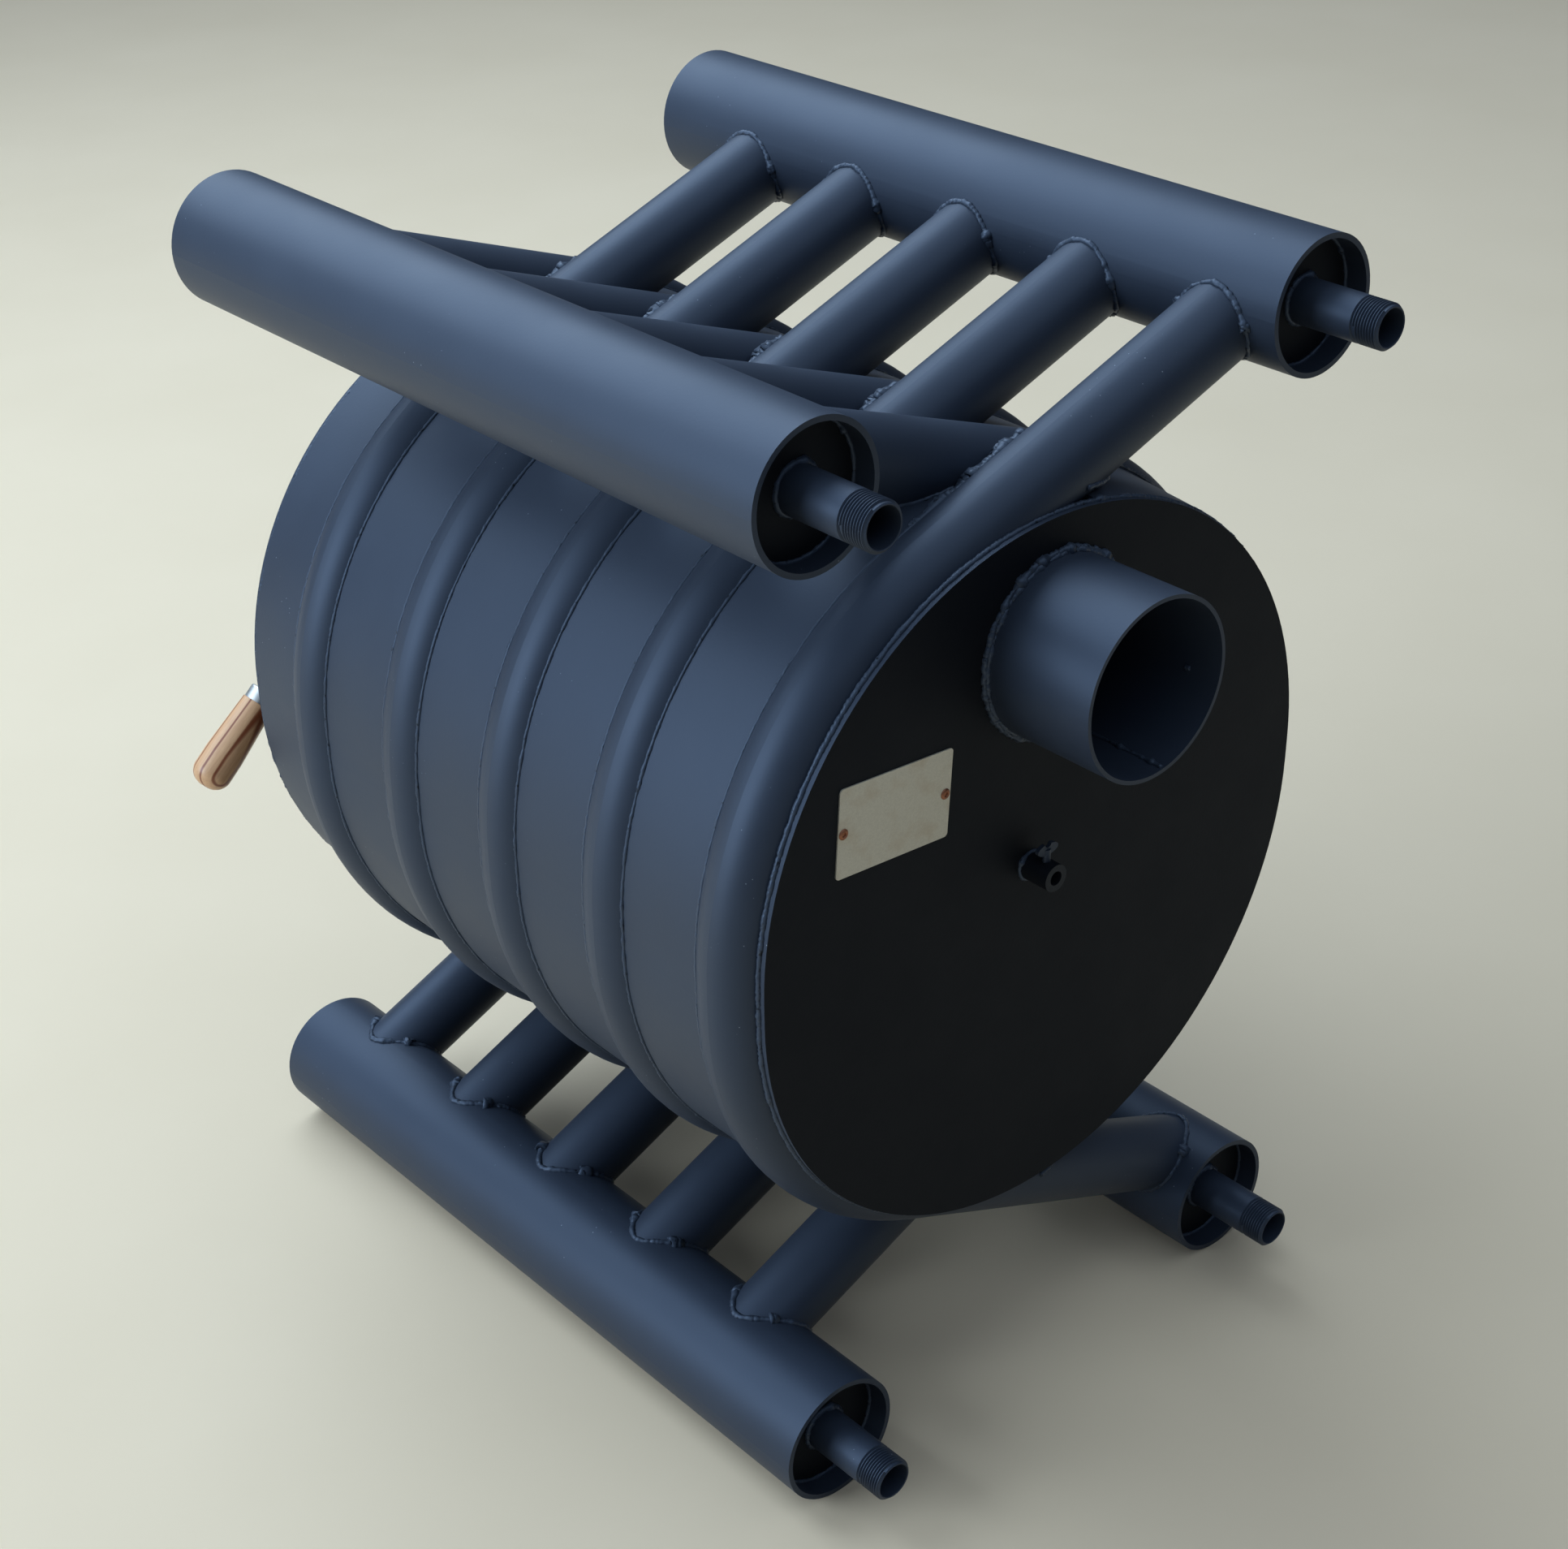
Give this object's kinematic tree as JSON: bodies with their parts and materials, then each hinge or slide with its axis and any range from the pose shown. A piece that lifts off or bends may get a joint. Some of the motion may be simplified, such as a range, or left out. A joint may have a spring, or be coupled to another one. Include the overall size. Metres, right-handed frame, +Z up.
{
  "type": "water-heating tube stove",
  "caption": "Drum-shaped wood stove whose wall is made of interlaced bent water tubes joined to four horizontal collector pipes, with a round front door and a rear flue stub.",
  "frame": {"origin": "on the floor, in the vertical middle plane of the stove, midway along its depth between the flue mouth and the air inlet mouth", "axes": "+Y from the door to the rear plate along the stove axis, +Z up, +X to the right of a person facing the door"},
  "size_m": [0.5806, 0.798, 0.8655],
  "materials": {
    "stove_paint": "matte heat-resistant anthracite paint",
    "scaled_steel": "mill scale, darkened by heat",
    "name_plate_metal": "matte, bare of any text",
    "rivet_copper": "dull copper-coloured blind rivet",
    "screw_steel": "dull steel",
    "zinc_plate": "pale zinc plating",
    "grip_wood": "turned, thinly varnished",
    "seal_rope": "braided ceramic rope"
  },
  "bodies": {
    "stove": {"right_tube_1": "stove_paint", "right_strip_1": "stove_paint", "right_tube_2": "stove_paint", "right_strip_2": "stove_paint", "right_tube_3": "stove_paint", "right_strip_3": "stove_paint", "right_tube_4": "stove_paint", "right_strip_4": "stove_paint", "right_tube_5": "stove_paint", "right_strip_5": "stove_paint", "left_tube_1": "stove_paint", "left_strip_1": "stove_paint", "left_tube_2": "stove_paint", "left_strip_2": "stove_paint", "left_tube_3": "stove_paint", "left_strip_3": "stove_paint", "left_tube_4": "stove_paint", "left_strip_4": "stove_paint", "left_tube_5": "stove_paint", "left_strip_5": "stove_paint", "upper_right_collector": "stove_paint", "upper_right_collector_rear_cap": "stove_paint", "upper_right_collector_front_cap": "stove_paint", "upper_right_nipple": "stove_paint", "upper_left_collector": "stove_paint", "upper_left_collector_rear_cap": "stove_paint", "upper_left_collector_front_cap": "stove_paint", "upper_left_nipple": "stove_paint", "lower_right_collector": "stove_paint", "lower_right_collector_rear_cap": "stove_paint", "lower_right_collector_front_cap": "stove_paint", "lower_right_nipple": "stove_paint", "lower_left_collector": "stove_paint", "lower_left_collector_rear_cap": "stove_paint", "lower_left_collector_front_cap": "stove_paint", "lower_left_nipple": "stove_paint", "rear_plate": "stove_paint", "front_plate": "stove_paint", "flue_stub": "stove_paint", "sensor_sleeve": "stove_paint", "door_frame": "stove_paint", "hinge_lugs": "stove_paint", "latch_keeper": "stove_paint", "gas_partition": "scaled_steel", "name_plate": "name_plate_metal", "name_plate_rivets": "rivet_copper", "hinge_pin": "screw_steel"},
    "door": {"door": "stove_paint", "door_seal": "seal_rope", "door_shield": "scaled_steel", "shield_spacers": "scaled_steel", "door_hinge_leaf": "stove_paint", "air_tube": "stove_paint", "latch_stud": "stove_paint"},
    "latch": {"latch_lever": "stove_paint", "grip_ferrule": "zinc_plate", "latch_grip": "grip_wood"},
    "throttle": {"throttle_shaft": "screw_steel", "throttle_disc": "stove_paint"},
    "wing_screw": {"sleeve_wing_screw": "stove_paint"}
  },
  "joints": [
    {"name": "door_hinge", "type": "hinge", "parent": "stove", "child": "door", "pos_m": [-0.214, -0.3555, 0.4493], "axis": [0, 0, -1], "range_deg": [0, 115]},
    {"name": "latch_turn", "type": "hinge", "parent": "door", "child": "latch", "pos_m": [0.15, -0.3805, 0.4728], "axis": [0, -1, 0], "range_deg": [-47, 8]},
    {"name": "throttle_turn", "type": "hinge", "parent": "door", "child": "throttle", "pos_m": [0, -0.363, 0.3613], "axis": [-1, 0, 0], "range_deg": [0, 90]},
    {"name": "wing_screw_turn", "type": "hinge", "parent": "stove", "child": "wing_screw", "pos_m": [0.016, 0.3215, 0.4718], "axis": [0, 0, 1], "continuous": true}
  ]
}
